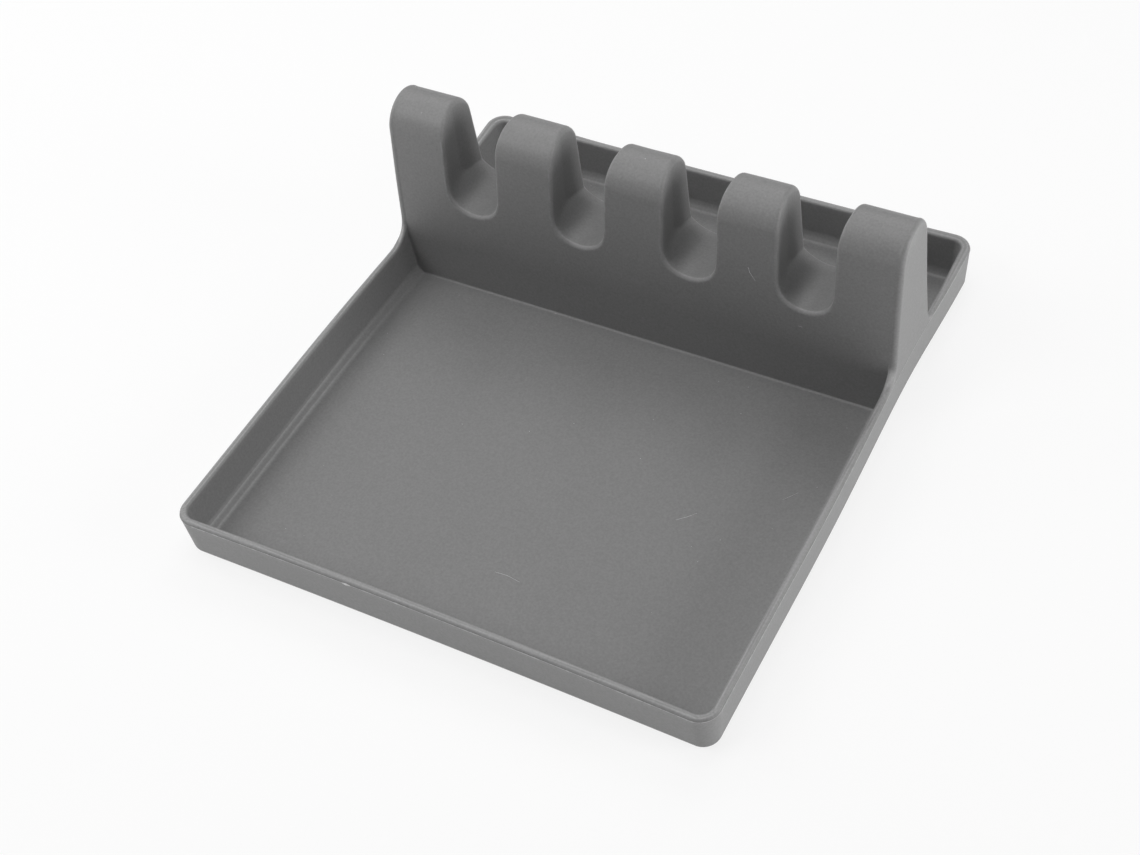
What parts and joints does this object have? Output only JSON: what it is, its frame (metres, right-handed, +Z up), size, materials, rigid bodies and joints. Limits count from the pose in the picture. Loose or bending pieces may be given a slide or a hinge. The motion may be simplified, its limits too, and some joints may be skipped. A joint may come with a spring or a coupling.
{
  "type": "spoon rest",
  "caption": "Shallow rectangular drip tray crossed by an upright slotted wall that holds spoon handles apart, moulded in soft dark grey silicone.",
  "frame": {"origin": "on the table, under the middle of the tray's rim", "axes": "+X to the right along the slotted wall, +Y to the back, away from the large front tray, +Z up"},
  "size_m": [0.182, 0.203, 0.0695],
  "materials": {
    "silicone": "matt silicone with a fine satin grain"
  },
  "bodies": {
    "root": {"front_tray": "silicone", "back_tray": "silicone", "rack_base": "silicone", "cradle_1": "silicone", "cradle_2": "silicone", "cradle_3": "silicone", "cradle_4": "silicone", "finger_1": "silicone", "finger_2": "silicone", "finger_3": "silicone", "finger_4": "silicone", "finger_5": "silicone"}
  },
  "joints": []
}
